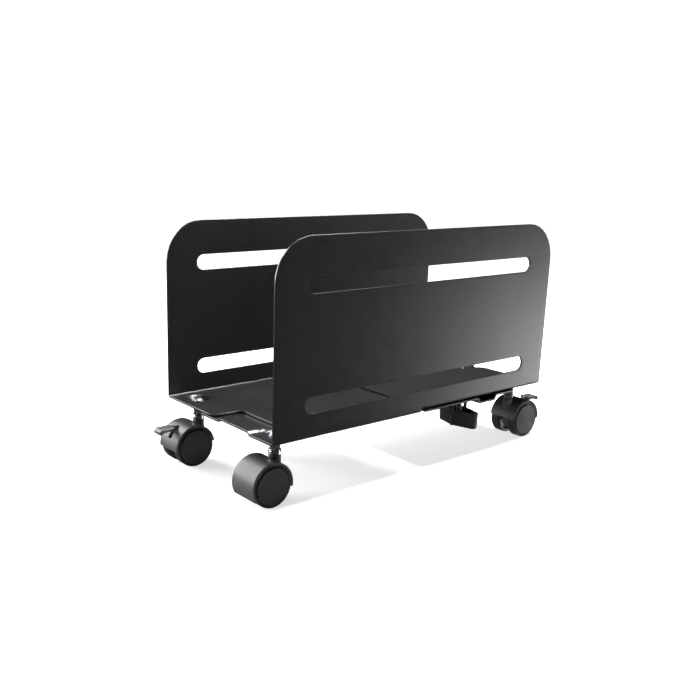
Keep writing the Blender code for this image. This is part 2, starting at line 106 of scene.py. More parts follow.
class Surface:
    """Small builder for a node material on object coordinates."""

    def __init__(self, name, color, roughness, metallic=0.0):
        self.material = bpy.data.materials.new(name)
        self.material.use_nodes = True
        self.tree = self.material.node_tree
        self.shader = self.tree.nodes["Principled BSDF"]
        self.shader.inputs["Base Color"].default_value = (*color, 1.0)
        self.shader.inputs["Roughness"].default_value = roughness
        self.shader.inputs["Metallic"].default_value = metallic
        self.coords = self.tree.nodes.new("ShaderNodeTexCoord").outputs["Object"]
        self.normal = None

    def node(self, kind, **settings):
        made = self.tree.nodes.new(kind)
        for key, value in settings.items():
            setattr(made, key, value)
        return made

    def link(self, source, target):
        self.tree.links.new(source, target)

    def noise(self, scale, detail=2.0, rough=0.5, stretch=None):
        made = self.node("ShaderNodeTexNoise")
        made.inputs["Scale"].default_value = scale
        made.inputs["Detail"].default_value = detail
        made.inputs["Roughness"].default_value = rough
        if stretch:
            mapping = self.node("ShaderNodeMapping")
            mapping.inputs["Scale"].default_value = stretch
            self.link(self.coords, mapping.inputs["Vector"])
            self.link(mapping.outputs["Vector"], made.inputs["Vector"])
        else:
            self.link(self.coords, made.inputs["Vector"])
        return made.outputs["Fac"]

    def span(self, value, low, high, out_low, out_high):
        made = self.node("ShaderNodeMapRange")
        made.inputs["From Min"].default_value = low
        made.inputs["From Max"].default_value = high
        made.inputs["To Min"].default_value = out_low
        made.inputs["To Max"].default_value = out_high
        self.link(value, made.inputs["Value"])
        return made.outputs["Result"]

    def math(self, operation, first, second):
        made = self.node("ShaderNodeMath", operation=operation)
        for socket, value in zip(made.inputs, (first, second)):
            if isinstance(value, (int, float)):
                socket.default_value = value
            else:
                self.link(value, socket)
        return made.outputs["Value"]

    def vary_color(self, factor, dark, light):
        made = self.node("ShaderNodeMix", data_type="RGBA")
        self.link(factor, made.inputs["Factor"])
        made.inputs["A"].default_value = (*dark, 1.0)
        made.inputs["B"].default_value = (*light, 1.0)
        self.link(made.outputs["Result"], self.shader.inputs["Base Color"])

    def vary_roughness(self, value):
        self.link(value, self.shader.inputs["Roughness"])

    def bump(self, height, distance, strength=1.0):
        made = self.node("ShaderNodeBump")
        made.inputs["Strength"].default_value = strength
        made.inputs["Distance"].default_value = distance
        self.link(height, made.inputs["Height"])
        if self.normal:
            self.link(self.normal, made.inputs["Normal"])
        self.normal = made.outputs["Normal"]
        self.link(self.normal, self.shader.inputs["Normal"])


def powder_coat():
    """Satin black powder coat: orange peel, a fine grain and slight unevenness of gloss."""
    dark, light = (0.0070, 0.0070, 0.0074), (0.0135, 0.0135, 0.0143)
    s = Surface("black_powder_coat", (0.012, 0.012, 0.0125), 0.4)
    cloud = s.noise(14.0, 3.0)
    grain = s.noise(2600.0, 2.0, 0.6)
    s.vary_color(s.span(grain, 0.35, 0.65, 0.0, 1.0), dark, light)
    broad = s.span(cloud, 0.3, 0.7, 0.27, 0.32)
    s.vary_roughness(s.math("ADD", broad, s.span(grain, 0.3, 0.7, -0.03, 0.03)))
    s.bump(s.noise(620.0, 1.0, 0.4), 0.00006, 0.35)
    s.bump(grain, 0.00002, 0.5)
    return s.material


def moulded(name, dark, light, rough, texture, height, streak=None):
    """Moulded plastic: spark-eroded texture, faint flow marks and worn, smoother spots."""
    s = Surface(name, dark, rough)
    speck = s.noise(texture, 2.0, 0.6)
    cloud = s.noise(60.0, 3.0)
    spots = s.span(speck, 0.35, 0.68, 0.0, 1.0)
    s.vary_color(s.math("MULTIPLY", spots, s.span(cloud, 0.3, 0.7, 0.6, 1.0)), dark, light)
    broad = s.span(cloud, 0.3, 0.7, rough - 0.05, rough + 0.05)
    s.vary_roughness(s.math("ADD", broad, s.span(speck, 0.3, 0.7, 0.04, -0.04)))
    if streak:
        s.bump(s.noise(1.0, 2.0, 0.6, streak), 0.00005, 0.35)
    s.bump(speck, height, 0.6)
    return s.material


def zinc(name, color, rough, turned_marks):
    """Bright plated steel with fine turning marks and a slight bluish mottle."""
    s = Surface(name, color, rough, 1.0)
    cloud = s.noise(180.0, 3.0)
    cool = tuple(c * f for c, f in zip(color, (0.86, 0.89, 0.93)))
    s.vary_color(s.span(cloud, 0.35, 0.65, 0.0, 1.0), cool, color)
    s.vary_roughness(s.span(cloud, 0.3, 0.7, rough - 0.06, rough + 0.09))
    s.bump(s.noise(1.0, 2.0, 0.5, turned_marks), 0.00003, 0.4)
    return s.material


STEEL = powder_coat()
HOOD = moulded(
    "hood_nylon", (0.036, 0.036, 0.038), (0.060, 0.060, 0.063), 0.48, 2600.0, 0.00004,
    (260.0, 2600.0, 2600.0))
TREAD = moulded(
    "tread_nylon", (0.016, 0.016, 0.017), (0.026, 0.026, 0.028), 0.34, 1500.0, 0.00002)
CAP = moulded(
    "cap_textured", (0.010, 0.010, 0.0105), (0.036, 0.036, 0.038), 0.46, 1700.0, 0.00010)
KNOB = moulded(
    "knob_plastic", (0.010, 0.010, 0.0105), (0.019, 0.019, 0.020), 0.42, 1600.0, 0.00004)
ZINC = zinc("zinc_bright", (0.74, 0.75, 0.77), 0.24, (900.0, 900.0, 5000.0))
NUT_ZINC = zinc("zinc_nut", (0.42, 0.43, 0.45), 0.36, (2500.0, 2500.0, 2500.0))


# ------------------------------------------------------------- mesh helpers


def arc(middle, radius, start, end, steps):
    """Points along an arc, angles in degrees."""
    points = []
    for step in range(steps + 1):
        angle = math.radians(start + (end - start) * step / steps)
        points.append((middle[0] + radius * math.cos(angle), middle[1] + radius * math.sin(angle)))
    return points


def rounded(corners, steps=6):
    """Outline through corners (x, y, radius), each one rounded to its radius."""
    points = []
    count = len(corners)
    for index, (x, y, radius) in enumerate(corners):
        if radius == 0:
            points.append((x, y))
            continue
        before = corners[index - 1]
        after = corners[(index + 1) % count]
        back = math.atan2(before[1] - y, before[0] - x)
        ahead = math.atan2(after[1] - y, after[0] - x)
        turn = (ahead - back + math.pi) % (2 * math.pi) - math.pi
        reach = radius / math.sin(abs(turn) / 2)
        middle = back + turn / 2
        hub = (x + reach * math.cos(middle), y + reach * math.sin(middle))
        sweep = math.degrees(math.copysign(math.pi - abs(turn), turn))
        start = math.degrees(middle) + 180 + sweep / 2
        points += arc(hub, radius, start, start - sweep, steps)
    return points


def from_bmesh(shape, matrix=None):
    """Finish a bmesh: weld, turn faces out, and hand back a mesh."""
    bmesh.ops.remove_doubles(shape, verts=shape.verts, dist=1e-6)
    bmesh.ops.recalc_face_normals(shape, faces=shape.faces)
    if matrix:
        shape.transform(matrix)
    mesh = bpy.data.meshes.new("mesh")
    shape.to_mesh(mesh)
    shape.free()
    return mesh


def merge(*meshes):
    """Several meshes as one mesh."""
    shape = bmesh.new()
    for mesh in meshes:
        shape.from_mesh(mesh)
    mesh = bpy.data.meshes.new("mesh")
    shape.to_mesh(mesh)
    shape.free()
    return mesh


def lathe(profile, steps=64, matrix=None):
    """Closed (radius, height) outline turned about Z."""
    shape = bmesh.new()
    rings = []
    for radius, height in profile:
        if radius < 1e-7:
            rings.append([shape.verts.new((0, 0, height))] * steps)
        else:
            angles = [2 * math.pi * i / steps for i in range(steps)]
            rings.append([
                shape.verts.new((radius * math.cos(a), radius * math.sin(a), height))
                for a in angles
            ])
    for index, ring in enumerate(rings):
        after = rings[(index + 1) % len(rings)]
        for i in range(steps):
            j = (i + 1) % steps
            corners = []
            for vertex in (ring[i], ring[j], after[j], after[i]):
                if vertex not in corners:
                    corners.append(vertex)
            if len(corners) > 2:
                shape.faces.new(corners)
    return from_bmesh(shape, matrix)


def prism(outline, thickness, edge=0.0, matrix=None, edge_steps=2):
    """Flat outline of a thickness with rounded rims, centred on its plane."""
    count = len(outline)
    area = sum(
        outline[i - 1][0] * outline[i][1] - outline[i][0] * outline[i - 1][1]
        for i in range(count))
    if area < 0:
        outline = outline[::-1]
    shape = bmesh.new()
    half = thickness / 2
    levels = []
    if edge > 0:
        for i in range(edge_steps + 1):
            angle = math.pi / 2 * i / edge_steps
            levels.append((edge * (1 - math.sin(angle)), -half + edge * (1 - math.cos(angle))))
        levels += [(inset, -z) for inset, z in reversed(levels)]
    else:
        levels = [(0, -half), (0, half)]
    rings = []
    for inset, z in levels:
        ring = []
        for i in range(count):
            x, y = outline[i]
            px, py = outline[i - 1]
            nx, ny = outline[(i + 1) % count]
            a = Vector((x - px, y - py)).normalized()
            b = Vector((nx - x, ny - y)).normalized()
            left = Vector((-a.y - b.y, a.x + b.x))
            if left.length < 1e-9:
                left = Vector((-a.y, a.x))
            left.normalize()
            spread = max(0.35, left.dot(Vector((-a.y, a.x))))
            moved = (x + left.x * inset / spread, y + left.y * inset / spread, z)
            ring.append(shape.verts.new(moved))
        rings.append(ring)
    for low, high in zip(rings, rings[1:]):
        for i in range(count):
            j = (i + 1) % count
            shape.faces.new((low[i], low[j], high[j], high[i]))
    shape.faces.new(rings[0][::-1])
    shape.faces.new(rings[-1])
    return from_bmesh(shape, matrix)


def evaluated(item):
    """Mesh of an object with its modifiers applied."""
    bpy.context.view_layer.update()
    depsgraph = bpy.context.evaluated_depsgraph_get()
    return bpy.data.meshes.new_from_object(item.evaluated_get(depsgraph))


def boolean(mesh, other, operation="DIFFERENCE"):
    """Cut or join one mesh with another."""
    first = bpy.data.objects.new("first", mesh)
    second = bpy.data.objects.new("second", other)
    for item in (first, second):
        bpy.context.scene.collection.objects.link(item)
    modifier = first.modifiers.new("cut", "BOOLEAN")
    modifier.operation = operation
    modifier.object = second
    result = evaluated(first)
    for item in (first, second):
        bpy.data.objects.remove(item, do_unlink=True)
    return result


def bevelled(mesh, width, segments, angle):
    """Round every sharp edge of a mesh."""
    item = bpy.data.objects.new("item", mesh)
    bpy.context.scene.collection.objects.link(item)
    modifier = item.modifiers.new("edges", "BEVEL")
    modifier.width = width
    modifier.segments = segments
    modifier.limit_method = "ANGLE"
    modifier.angle_limit = math.radians(angle)
    modifier.use_clamp_overlap = True
    result = evaluated(item)
    bpy.data.objects.remove(item, do_unlink=True)
    return result


def piece(name, mesh, surface, body, stands_for, sharp):
    """Put a finished mesh in the scene as a piece of a body."""
    mesh.materials.clear()
    mesh.materials.append(surface)
    mesh.shade_smooth()
    mesh.set_sharp_from_angle(angle=math.radians(sharp))
    item = bpy.data.objects.new(name, mesh)
    bpy.context.scene.collection.objects.link(item)
    normals = item.modifiers.new("normals", "WEIGHTED_NORMAL")
    normals.keep_sharp = True
    normals.weight = 80
    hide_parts(*stands_for)
    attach(item, body)


# ----------------------------------------------------------------- brackets
# The sheet is laid out flat first: s runs from the free end of the deck through the bend
# and up the panel, where it equals the height, and y runs along the stand.

BEND_ARC = (BEND_R - SHEET / 2) * math.pi / 2


def deck_level(y):
    """Height of the underside of the left bracket's deck: its front half lies high."""
    return HIGH_Z if y < 0 else LOW_Z


def laid_flat(x, y):
    """Where a deck point at x lies on the flat sheet."""
    return deck_level(y) + BEND_R - BEND_ARC - (x + WIDTH / 2 - BEND_R)


def soft_step(t, ease=0.3):
    """0 to 1, straight in the middle and rounded at both ends."""
    if t <= 0:
        return 0.0
    if t >= 1:
        return 1.0
    steep = 1 / (1 - ease)
    if t < ease:
        return steep * t * t / (2 * ease)
    if t > 1 - ease:
        return 1 - steep * (1 - t) ** 2 / (2 * ease)
    return steep * (t - ease / 2)


def pressed(x, y):
    """Height of the pressed features of the left bracket's deck."""
    height = 0.0
    if y > 0:
        low, high, back = PAD
        ramp = PAD_RAMP
        across = soft_step((x - low + ramp) / ramp) * soft_step((high + ramp - x) / ramp)
        height += PAD_RISE * across * soft_step((y - back + ramp) / ramp)
        beside = soft_step((CHANNEL_HALF - abs(y - CHANNEL_Y)) / CHANNEL_WALL)
        height -= CHANNEL_DEPTH * beside * soft_step((x - CHANNEL_START) / CHANNEL_WALL)
    depth, wall = HIGH_DISH if y < 0 else LOW_DISH
    around = math.hypot(x + CASTER_X, y - math.copysign(CASTER_Y, y))
    height -= depth * (1 - soft_step((around - DISH_FLOOR_R) / wall))
    return height


def fold(s, y, n):
    """Point of the folded bracket; n is the depth from the outer face."""
    level = deck_level(y)
    along = level + BEND_R - s
    if along <= 0:
        return (-WIDTH / 2 + n, y, s)
    if along < BEND_ARC:
        angle = along / BEND_ARC * math.pi / 2
        radius = BEND_R - n
        x = -WIDTH / 2 + BEND_R - radius * math.cos(angle)
        return (x, y, level + BEND_R - radius * math.sin(angle))
    x = -WIDTH / 2 + BEND_R + along - BEND_ARC
    tiny = 0.0002
    rise = pressed(x, y)
    slope_x = (pressed(x + tiny, y) - pressed(x - tiny, y)) / (2 * tiny)
    slope_y = (pressed(x, y + tiny) - pressed(x, y - tiny)) / (2 * tiny)
    normal = Vector((-slope_x, -slope_y, 1)).normalized()
    off = n - SHEET / 2
    z = level + SHEET / 2 + rise + normal.z * off
    return (x + normal.x * off, y + normal.y * off, z)


def lines_between(lines, start, end):
    """Grid lines that a run crosses, clear of its ends and in its direction."""
    clear = 3e-4
    low, high = min(start, end) + clear, max(start, end) - clear
    return sorted((v for v in lines if low < v < high), reverse=end < start)


def outline_with_lines(corners, s_lines, y_lines):
    """Rounded outline with an extra point wherever a straight run crosses a grid line."""
    ring = rounded(corners, 8)
    points = []
    for i, (s, y) in enumerate(ring):
        ns, ny = ring[(i + 1) % len(ring)]
        points.append((s, y))
        if abs(ns - s) < 1e-9:
            points += [(s, v) for v in lines_between(y_lines, y, ny)]
        elif abs(ny - y) < 1e-9:
            points += [(v, y) for v in lines_between(s_lines, s, ns)]
    return points


def ring_offset(points, distance):
    """Points moved to their left by a distance, mitred at corners, and the unit moves."""
    co = np.array(points)
    ahead = np.roll(co, -1, 0) - co
    ahead /= np.linalg.norm(ahead, axis=1)[:, None]
    back = np.roll(ahead, 1, 0)
    left = np.stack([-(ahead[:, 1] + back[:, 1]), ahead[:, 0] + back[:, 0]], 1)
    left /= np.linalg.norm(left, axis=1)[:, None]
    cosine = left[:, 0] * -ahead[:, 1] + left[:, 1] * ahead[:, 0]
    left /= np.clip(cosine, 0.5, 1)[:, None]
    return co + left * distance, left


def inside(points, loops):
    """Even-odd test of points against all loops."""
    points = np.asarray(points)
    odd = np.zeros(len(points), bool)
    for loop in loops:
        a = np.asarray(loop)
        b = np.roll(a, -1, 0)
        for (ax, ay), (bx, by) in zip(a, b):
            if ay == by:
                continue
            crosses = (points[:, 1] < ay) != (points[:, 1] < by)
            where = ax + (points[:, 1] - ay) / (by - ay) * (bx - ax)
            odd ^= crosses & (points[:, 0] < where)
    return odd


def far_from(points, loops, distance):
    """Mask of points at least a distance from every loop's segments."""
    points = np.asarray(points)
    keep = np.ones(len(points), bool)
    for loop in loops:
        a = np.asarray(loop)
        b = np.roll(a, -1, 0)
        for start, end in zip(a, b):
            line = end - start
            t = np.clip(((points - start) @ line) / (line @ line), 0, 1)
            gap = np.linalg.norm(points - start - t[:, None] * line, axis=1)
            keep &= gap >= distance
    return keep


def bracket_mesh(turn):
    """The whole sheet bracket with smooth bends, pressings and rounded cut edges."""
    half = LENGTH / 2
    bend_top = {-1: HIGH_Z + BEND_R, 1: LOW_Z + BEND_R}
    s_lines = set(np.arange(0.075, 0.234, 0.0155).round(6))
    for side in (-1, 1):
        s_lines |= {round(bend_top[side] - BEND_ARC * k / 6, 6) for k in range(7)}
        s_lines |= {round(laid_flat(x, side), 6) for x in np.arange(-0.078, 0.088, 0.0072)}
    for x in (PAD[0], PAD[1]):
        sign = -1 if x == PAD[0] else 1
        s_lines |= {round(laid_flat(x + sign * PAD_RAMP * k / 7, 1), 6) for k in range(8)}
    s_lines |= {round(laid_flat(CHANNEL_START + CHANNEL_WALL * k / 6, 1), 6) for k in range(7)}
    y_lines = set(np.arange(-0.171, 0.175, 0.0095).round(6))
    for sign in (-1, 1):
        y_lines |= {
            round(CHANNEL_Y + sign * (CHANNEL_HALF - CHANNEL_WALL * k / 6), 6) for k in range(7)}
    y_lines |= {round(PAD[2] - PAD_RAMP * k / 7, 6) for k in range(8)}
    s_lines = sorted(s_lines)
    y_lines = sorted(y_lines)

    corners = [
        (PANEL_TOP, -half, PANEL_CORNER),
        (PANEL_TOP, half, PANEL_CORNER),
        (laid_flat(LOW_CUT[0], 1), half, 0.002),
        (laid_flat(LOW_CUT[0], 1), LOW_CUT[1], 0.006),
        (laid_flat(LOW_END, 1), LOW_CUT[1], 0.002),
        (laid_flat(LOW_END, 1), SLIT_HALF, 0.001),
        (SLIT_TOP, SLIT_HALF, 0.0008),
        (SLIT_TOP, -SLIT_HALF, 0.0008),
        (laid_flat(HIGH_END, -1), -SLIT_HALF, 0.001),
        (laid_flat(HIGH_END, -1), NOTCH[1], 0.002),
        (laid_flat(NOTCH[0], -1), NOTCH[1], 0.007),
        (laid_flat(NOTCH[0], -1), -half, 0.008),
    ]
    outer = outline_with_lines(corners, s_lines, y_lines)
    holes = []
    end = SLOT_REACH - SLOT_HALF
    for z in SLOT_LEVELS:
        ring = arc((z, end), SLOT_HALF, 0, 180, 16)
        ring += [(z - SLOT_HALF, v) for v in reversed(y_lines) if abs(v) < end - 0.001]
        ring += arc((z, -end), SLOT_HALF, 180, 360, 16)
        ring += [(z + SLOT_HALF, v) for v in y_lines if abs(v) < end - 0.001]
        holes.append(ring)
    rounds = []
    for x, y in ((-CASTER_X, -CASTER_Y), (-CASTER_X, CASTER_Y), (CLAMP_X, CHANNEL_Y)):
        hub = (laid_flat(x, y), y)
        holes.append(arc(hub, BOLT_HOLE_R, 0, 360 - 360 / 32, 31))
        rounds.append(hub)

    loops = []
    for index, ring in enumerate([outer] + holes):
        area = sum(a[0] * b[1] - b[0] * a[1] for a, b in zip(ring, ring[1:] + ring[:1]))
        if (area > 0) != (index == 0):
            ring = ring[::-1]
        loops.append(ring)
    insets = [ring_offset(ring, EDGE) for ring in loops]
    inset_loops = [inset for inset, _ in insets]

    # Rings of points follow the two dishes, and the square grid keeps clear of them
    grid = np.array([(s, y) for s in s_lines for y in y_lines])
    for hub in rounds[:2]:
        grid = grid[np.linalg.norm(grid - hub, axis=1) > 0.0155]
    grid = grid[np.linalg.norm(grid - rounds[2], axis=1) > 0.0046]
    ring_radii = (
        0.0045, 0.0060, 0.0078, 0.0086, 0.0094, 0.0101,
        0.0108, 0.0115, 0.0122, 0.0129, 0.0136, 0.0146)
    polar = []
    for hub in rounds[:2]:
        for radius in ring_radii:
            polar += arc(hub, radius, 0, 360 - 360 / 48, 47)
    grid = np.vstack([grid, np.array(polar)])
    grid = grid[inside(grid, inset_loops)]
    grid = grid[far_from(grid, inset_loops, 0.0006)]

    points = []
    edges = []
    starts = []
    for inset in inset_loops:
        first = len(points)
        starts.append(first)
        points += [tuple(p) for p in inset]
        edges += [(first + i, first + (i + 1) % len(inset)) for i in range(len(inset))]
    points += [tuple(p) for p in grid]
    verts, _, faces, origin, _, _ = delaunay_2d_cdt(
        [Vector(p) for p in points], edges, [], 0, 1e-8, True)
    found = {}
    for out, sources in enumerate(origin):
        for source in sources:
            found[source] = out
    middle = np.array([np.mean([verts[i] for i in face], axis=0) for face in faces])
    wanted = inside(middle, inset_loops)

    shape = bmesh.new()
    top = [shape.verts.new(fold(v[0], v[1], SHEET)) for v in verts]
    base = [shape.verts.new(fold(v[0], v[1], 0)) for v in verts]
    for face, keep in zip(faces, wanted):
        if keep:
            shape.faces.new([top[i] for i in face])
            shape.faces.new([base[i] for i in reversed(face)])
    for (inset, left), first in zip(insets, starts):
        count = len(inset)
        rings = [[base[found[first + i]] for i in range(count)]]
        levels = []
        for part in range(1, EDGE_PARTS + 1):
            angle = math.pi / 2 * part / EDGE_PARTS
            levels.append((EDGE * math.sin(angle), EDGE * (1 - math.cos(angle))))
        levels += [(out, SHEET - deep) for out, deep in reversed(levels)]
        for out, deep in levels:
            rings.append([
                shape.verts.new(fold(*(inset[i] - left[i] * out), deep)) for i in range(count)])
        rings.append([top[found[first + i]] for i in range(count)])
        for low, high in zip(rings, rings[1:]):
            for i in range(count):
                j = (i + 1) % count
                shape.faces.new((low[i], low[j], high[j], high[i]))
    loose = [v for v in shape.verts if not v.link_faces]
    bmesh.ops.delete(shape, geom=loose, context="VERTS")
    return from_bmesh(shape, turn)


# ------------------------------------------------------------------ casters
# Drawn about the stem's axis, with the axle towards +Y, then turned and moved into place.

AXLE = Matrix.Translation((0, TRAIL, WHEEL_R))
ACROSS = Matrix(((0, 0, 1, 0), (1, 0, 0, 0), (0, 1, 0, 0), (0, 0, 0, 1)))
SHELL_OUT = 0.0218
SHELL_IN = 0.0200
SHELL_HALF = 0.0161


def shell_mesh(start, end, steps=56):
    """Curved cover over both wheels with rounded long edges, turned in cheeks and ends."""
    section = rounded([
        (-SHELL_HALF, SHELL_IN, 0.0003), (-SHELL_HALF, SHELL_OUT, 0.0009),
        (SHELL_HALF, SHELL_OUT, 0.0009), (SHELL_HALF, SHELL_IN, 0.0003),
    ], 4)
    dense = []
    for i, (x, r) in enumerate(section):
        nx, nr = section[(i + 1) % len(section)]
        dense.append((x, r))
        if abs(nx - x) > 0.005:
            dense += [(x + (nx - x) * k / 6, r) for k in range(1, 6)]
    shape = bmesh.new()
    rings = []
    for step in range(steps + 1):
        angle = math.radians(start + (end - start) * step / steps)
        rings.append([
            shape.verts.new((x, r * math.cos(angle), r * math.sin(angle))) for x, r in dense])
    count = len(dense)
    for a, b in zip(rings, rings[1:]):
        for i in range(count):
            j = (i + 1) % count
            shape.faces.new((a[i], a[j], b[j], b[i]))
    shape.faces.new(rings[0])
    shape.faces.new(rings[-1][::-1])
    return from_bmesh(shape, AXLE)


def hood_mesh(braked):
    """Moulded hood: shell, web, axle boss and the neck that takes the stem.

    A braked hood also has the lever's pocket, and two blocks between its wheels that the
    CAD doesn't have.
    """
    start, end = (-5.0, 172.0) if braked else (-30.0, 190.0)
    boss_bore, boss_r, boss_half = 0.0028, 0.0062, 0.0056
    neck_r, socket_r, socket_depth = 0.0056, 0.0044, 0.001
    flat = AXLE @ ACROSS
    shell = shell_mesh(start, end)
    web_outline = arc((0, 0), SHELL_IN + 0.0005, start + 3, end - 3, 40)
    web_outline += arc((0, 0), 0.0060, end - 3, start + 363, 16)
    web = prism(web_outline, 0.0090, 0.0004, flat)
    boss = lathe(rounded([
        (boss_bore, -boss_half, 0), (boss_r, -boss_half, 0.0005),
        (boss_r, boss_half, 0.0005), (boss_bore, boss_half, 0),
    ], 3), 48, AXLE @ Matrix.Rotation(math.pi / 2, 4, "Y"))
    rim = rounded([
        (neck_r, 0.0380, 0), (neck_r, NECK_TOP, 0.0005),
        (socket_r, NECK_TOP, 0.0003), (socket_r, NECK_TOP - socket_depth, 0),
    ], 3)
    neck = lathe([(0, 0.0290), (neck_r, 0.0290)] + rim + [(0, NECK_TOP - socket_depth)], 56)
    if braked:
        pocket = arc((0, 0), 0.030, 24, 64, 20) + arc((0, 0), 0.0085, 64, 24, 14)
        shell = boolean(shell, prism(pocket, 0.0058, 0, flat))
        web = boolean(web, prism(pocket, 0.0058, 0, flat))
        front = arc((0, 0), 0.0150, -52, 24, 16) + arc((0, 0), 0.0075, 24, -52, 10)
        back = arc((0, 0), 0.0150, 150, 232, 16) + arc((0, 0), 0.0055, 232, 150, 10)
        web = merge(web, prism(front, 0.0078, 0.0004, flat), prism(back, 0.0078, 0.0004, flat))
    shell = bevelled(shell, 0.00035 if braked else 0.00045, 2, 40)
    return merge(shell, web, boss, neck)


def wheel_mesh(side):
    """Wheel: rounded tread, recessed outer face with a lip, hub on the inside."""
    wide, near = 0.0160, 0.0062
    lip_r, bore, recess = 0.0182, 0.0028, 0.0135
    profile = rounded([
        (lip_r, wide - 0.0002, 0.0002), (WHEEL_R, wide - 0.0002, 0.0008),
        (WHEEL_R, near, 0.0012), (0.0163, near, 0.0005),
        (0.0155, near + 0.0030, 0.0008), (0.0080, near + 0.0030, 0.0008),
        (0.0070, near + 0.0001, 0.0003), (bore, near + 0.0001, 0),
        (bore, recess, 0), (lip_r, recess, 0),
    ], 4)
    return lathe(profile, 96, AXLE @ Matrix.Rotation(side * math.pi / 2, 4, "Y"))


def cap_mesh(side):
    """Textured disc with a slight crown and a rounded rim, a little apart from the tyre."""
    disc_r, back, face = 0.0171, 0.0138, 0.0170
    crown_r, crown = 0.0155, 0.0003
    profile = [(0, back), (disc_r, back)]
    profile += rounded([
        (disc_r, 0.0142, 0), (disc_r, face - 0.0001, 0.0007), (0.0161, face - 0.0001, 0.0002),
        (0.0159, face - crown, 0.0001), (crown_r, face - crown, 0),
    ], 5)[1:]
    profile += [
        (r, face - crown * (r / crown_r) ** 2) for r in (0.0135, 0.0100, 0.0060, 0.0025)]
    profile += [(0, face)]
    return lathe(profile, 96, AXLE @ Matrix.Rotation(side * math.pi / 2, 4, "Y"))


def lever_mesh():
    """Brake lever: a tongue on the pin and a dished foot paddle with a turned-down lip."""
    pivot_y, pivot_z = BRAKE_PIVOT
    back = SHELL_OUT * 0.78 + TRAIL - pivot_y
    under = 0.0168 + WHEEL_R - pivot_z
    over = 0.0206 + WHEEL_R - pivot_z
    tongue = arc((0, 0), 0.0030, 120, 330, 14)
    tongue += [
        (back + 0.003, under + 0.0003), (back + 0.003, over - 0.0003),
        (back - 0.0035, over - 0.0001),
    ]
    place = Matrix.Translation((0, pivot_y, pivot_z))
    stem = prism(tongue, 0.005, 0.0004, place @ ACROSS)
    tip = 0.0335 + TRAIL - pivot_y
    shape = bmesh.new()
    rows = []
    # Along the paddle: place, half width, sink of the top and drop of the underside
    stations = [
        (back, 0.0056, 0.0, 0.0), (back + 0.0012, 0.0065, 0.0, 0.0),
        (back + 0.005, 0.0067, 0.0003, 0.0), (tip - 0.0060, 0.0067, 0.0003, 0.0),
        (tip - 0.0045, 0.0067, 0.0002, 0.0004), (tip - 0.0030, 0.0067, 0.0003, 0.0014),
        (tip - 0.0018, 0.0066, 0.0008, 0.0023), (tip - 0.0007, 0.0063, 0.0015, 0.0024),
        (tip, 0.0058, 0.0026, 0.0018),
    ]
    for y, wide, sink, drop in stations:
        top = over - sink
        low = under + 0.0003 - drop
        row = []
        section = (
            (-wide, top - 0.0007), (-wide * 0.9, top), (0, top - 0.0003),
            (wide * 0.9, top), (wide, top - 0.0007), (wide, low + 0.0005),
            (wide * 0.88, low), (-wide * 0.88, low), (-wide, low + 0.0005),
        )
        for x, z in section:
            row.append(shape.verts.new((x, y, z)))
        rows.append(row)
    for a, b in zip(rows, rows[1:]):
        for i in range(len(a)):
            j = (i + 1) % len(a)
            shape.faces.new((a[i], a[j], b[j], b[i]))
    shape.faces.new(rows[0])
    shape.faces.new(rows[-1][::-1])
    paddle = from_bmesh(shape, place)
    return merge(stem, bevelled(paddle, 0.0003, 2, 30))


def stem_mesh():
    """Plated collar with a groove, and the threaded end with real thread ridges."""
    low, high = NECK_TOP + 0.0003, COLLAR_TOP
    collar = lathe(rounded([
        (0.0010, low, 0), (0.0056, low, 0.0003), (0.0058, low + 0.0006, 0.0002),
        (0.0058, high - 0.0016, 0.0003), (0.0053, high - 0.0013, 0.0002),
        (0.0053, high - 0.0009, 0.0002), (0.0057, high - 0.0006, 0.0002),
        (0.0056, high, 0.0003), (0.0010, high, 0),
    ], 3), 56)
    root, crest, length, turns = 0.0027, 0.0030, 0.0143, 22
    thread = [(0.0005, high - 0.0003), (root, high - 0.0003)]
    for k in range(turns):
        z = high + length * k / turns
        thread += [(root, z), (crest, z + 0.0003)]
    thread += [(0.0024, 0.0620), (0.0005, 0.0620)]
    return merge(collar, lathe(thread, 40))


def sleeve_mesh():
    """Black sleeve between the collar and the underside of the dish."""
    low, high = COLLAR_TOP + 0.0004, 0.0571
    bore, outer = 0.0034, 0.0047
    return lathe(rounded([
        (bore, low, 0.0002), (outer, low, 0.0004), (outer, high, 0.0004), (bore, high, 0.0002),
    ], 3), 48)


def dome_nut_mesh():
    """Low dome nut on a flange, seated in the dish."""
    seat, flats, dome_r = 0.0598, 0.0090, 0.0043
    flange = lathe(rounded([
        (0.0032, seat, 0), (0.0054, seat, 0.0002),
        (0.0054, seat + 0.0005, 0.0003), (0.0032, seat + 0.0008, 0),
    ], 3), 48)
    hexagon = arc((0, 0), flats / math.sqrt(3), 0, 300, 5)
    body = prism(hexagon, 0.0017, 0.0003, Matrix.Translation((0, 0, seat + 0.0010)))
    dome = [(0, seat + 0.0013), (dome_r, seat + 0.0013)]
    for k in range(8):
        angle = math.pi / 2 * k / 8
        dome.append((dome_r * math.cos(angle), seat + 0.0017 + 0.00185 * math.sin(angle)))
    dome += [(0, seat + 0.00355)]
    return merge(flange, body, lathe(dome, 48))


# -------------------------------------------------------------------- clamp


def knob_ring(inset, end_radius, waist_radius, steps):
    """Long six-sided outline of the knob, moved inward by a distance."""
    length, width, end = 0.0247, 0.0103, 0.0035
    waist = width - inset * math.hypot(length, width - end) / length
    tip = length - inset
    corner = waist - (width - end) * tip / length
    return rounded([
        (tip, -corner, end_radius), (tip, corner, end_radius), (0, waist, waist_radius),
        (-tip, corner, end_radius), (-tip, -corner, end_radius), (0, -waist, waist_radius),
    ], steps)


